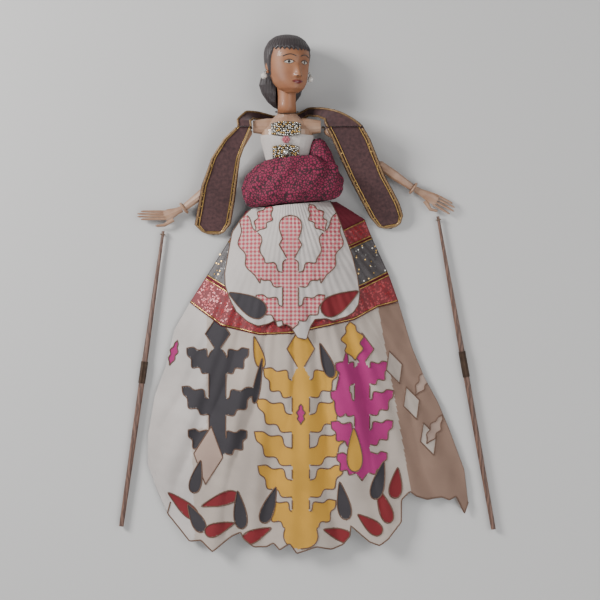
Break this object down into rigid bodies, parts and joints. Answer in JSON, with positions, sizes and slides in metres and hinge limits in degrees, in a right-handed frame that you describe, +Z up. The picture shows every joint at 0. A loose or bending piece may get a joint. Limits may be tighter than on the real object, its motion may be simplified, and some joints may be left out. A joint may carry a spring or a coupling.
{
  "type": "rod puppet",
  "caption": "Carved wooden rod puppet in a patchwork dress, lying on its back, with a turning head, strung arms and hand rods.",
  "frame": {"origin": "middle of the bounding box in plan, on the surface that the puppet lies on", "axes": "+Y runs up the body to the crown of the head, +X to the puppet's own left hand, +Z up from the surface, out of the front of the dress"},
  "size_m": [0.4858, 0.66, 0.0654],
  "materials": {
    "arm_wood": "painted pale tan wood, satin varnish, rubbed at the edges",
    "skin": "painted wood, brown satin varnish",
    "hair": "painted wood, dark matt paint with comb lines",
    "rod_wood": "bare brown wood, handled smooth",
    "sleeve": "darkened thin metal tube",
    "string": "twisted thread",
    "pearl": "imitation pearl lustre",
    "paste": "paste stones in a dark metal setting",
    "white_cloth": "plain cotton, unironed, with patchwork applied",
    "crimson": "woven cotton, crimson",
    "red_sequin": "cloth covered with red sequins",
    "black_sequin": "cloth covered with black sequins, gold and silver ones on it",
    "batik": "printed cotton",
    "pink_check": "white cotton with pink gingham and corded outlines",
    "velvet": "velvet with sequinned braid along its edges"
  },
  "bodies": {
    "torso": {"torso": "arm_wood", "bodice": "white_cloth", "chest_brooch": "paste", "girdle_brooch": "paste", "pearl_belt": "pearl", "necklace": "sleeve", "skirt_lower": "white_cloth", "skirt_upper": "crimson", "band_red_upper": "red_sequin", "band_black": "black_sequin", "band_red_lower": "red_sequin", "skirt_back": "white_cloth", "apron": "pink_check", "waist_wrap": "batik", "wrap_tail": "batik", "stole_neck_band": "velvet"},
    "central_rod": {"central_rod": "rod_wood"},
    "head": {"head": "skin", "hair_bun": "hair", "earring_right": "pearl", "earring_left": "pearl"},
    "right_shoulder": {"right_shoulder_cord": "string", "stole_right_end": "velvet"},
    "right_upper_arm": {"right_upper_arm": "arm_wood", "right_elbow_cord": "string"},
    "right_forearm": {"right_forearm": "arm_wood", "right_bangle": "arm_wood", "right_hand": "arm_wood"},
    "right_rod": {"right_rod_tie": "string", "right_rod_upper": "rod_wood", "right_rod_sleeve": "sleeve", "right_rod_lower": "rod_wood"},
    "left_shoulder": {"left_shoulder_cord": "string", "stole_left_end": "velvet"},
    "left_upper_arm": {"left_upper_arm": "arm_wood", "left_elbow_cord": "string"},
    "left_forearm": {"left_forearm": "arm_wood", "left_bangle": "arm_wood", "left_hand": "arm_wood"},
    "left_rod": {"left_rod_tie": "string", "left_rod_upper": "rod_wood", "left_rod_sleeve": "sleeve", "left_rod_lower": "rod_wood"}
  },
  "joints": [
    {"name": "rod_lift", "type": "slide", "parent": "torso", "child": "central_rod", "axis": [0, 1, 0], "range_m": [0, 0.012]},
    {"name": "head_turn", "type": "hinge", "parent": "central_rod", "child": "head", "pos_m": [-0.0256, 0.231, 0.033], "axis": [0, 1, 0], "range_deg": [-80, 50]},
    {"name": "right_shoulder_lift", "type": "hinge", "parent": "torso", "child": "right_shoulder", "pos_m": [-0.0721, 0.2145, 0.033], "axis": [-1, 0, 0], "range_deg": [0, 40]},
    {"name": "right_arm_raise", "type": "hinge", "parent": "right_shoulder", "child": "right_upper_arm", "pos_m": [-0.0721, 0.2145, 0.033], "axis": [0, 0, -1], "range_deg": [0, 50]},
    {"name": "right_elbow", "type": "hinge", "parent": "right_upper_arm", "child": "right_forearm", "pos_m": [-0.1106, 0.1491, 0.0145], "axis": [0, 0, -1], "range_deg": [0, 60]},
    {"name": "right_rod_swing", "type": "hinge", "parent": "right_forearm", "child": "right_rod", "pos_m": [-0.1854, 0.0832, 0.0046], "axis": [0, 0, -1], "range_deg": [0, 60]},
    {"name": "left_shoulder_lift", "type": "hinge", "parent": "torso", "child": "left_shoulder", "pos_m": [0.0209, 0.2145, 0.033], "axis": [-1, 0, 0], "range_deg": [0, 40]},
    {"name": "left_arm_raise", "type": "hinge", "parent": "left_shoulder", "child": "left_upper_arm", "pos_m": [0.0209, 0.2145, 0.033], "axis": [0, 0, 1], "range_deg": [0, 50]},
    {"name": "left_elbow", "type": "hinge", "parent": "left_upper_arm", "child": "left_forearm", "pos_m": [0.087, 0.1717, 0.0145], "axis": [0, 0, 1], "range_deg": [0, 60]},
    {"name": "left_rod_swing", "type": "hinge", "parent": "left_forearm", "child": "left_rod", "pos_m": [0.1688, 0.1022, 0.0046], "axis": [0, 0, 1], "range_deg": [0, 60]}
  ]
}
